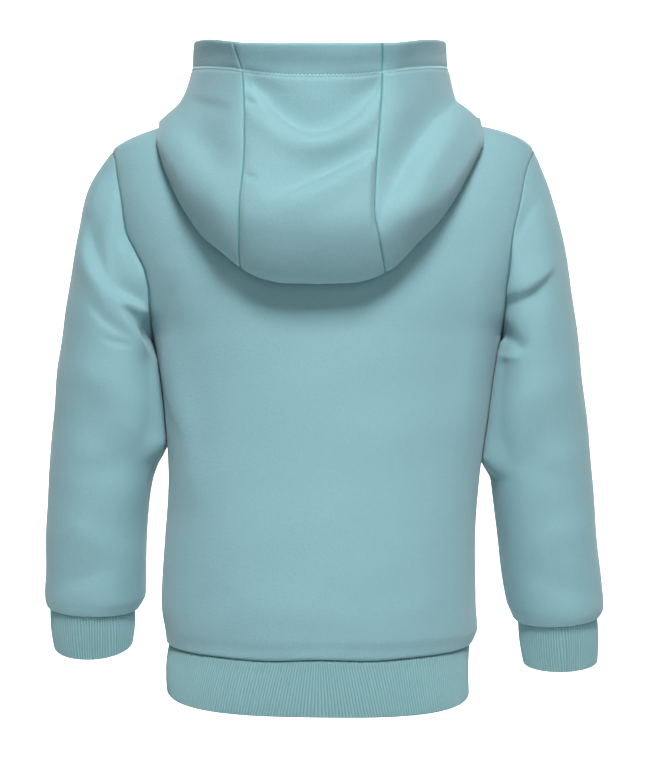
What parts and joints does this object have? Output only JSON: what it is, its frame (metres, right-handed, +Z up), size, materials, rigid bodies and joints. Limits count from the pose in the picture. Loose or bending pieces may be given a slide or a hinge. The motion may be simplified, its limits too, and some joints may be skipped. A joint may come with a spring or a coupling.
{
  "type": "toddler hoodie",
  "caption": "Pullover toddler hoodie in worn shape with no wearer, three-piece hood laid back, set-in sleeves, rib cuffs and waistband.",
  "frame": {"origin": "middle of the neck base at the height of the high point of the shoulders, where the wearer's shoulders hold it", "axes": "+X to the wearer's right, +Y to the wearer's front, +Z up; the back faces -Y"},
  "size_m": [0.4082, 0.2308, 0.4724],
  "materials": {
    "fleece": "matte",
    "rib": "matte"
  },
  "bodies": {
    "root": {"back": "fleece", "front": "fleece", "sleeve_left": "fleece", "sleeve_right": "fleece", "cuff_left": "rib", "cuff_right": "rib", "waistband": "rib", "hood_center": "fleece", "hood_left": "fleece", "hood_right": "fleece"}
  },
  "joints": []
}
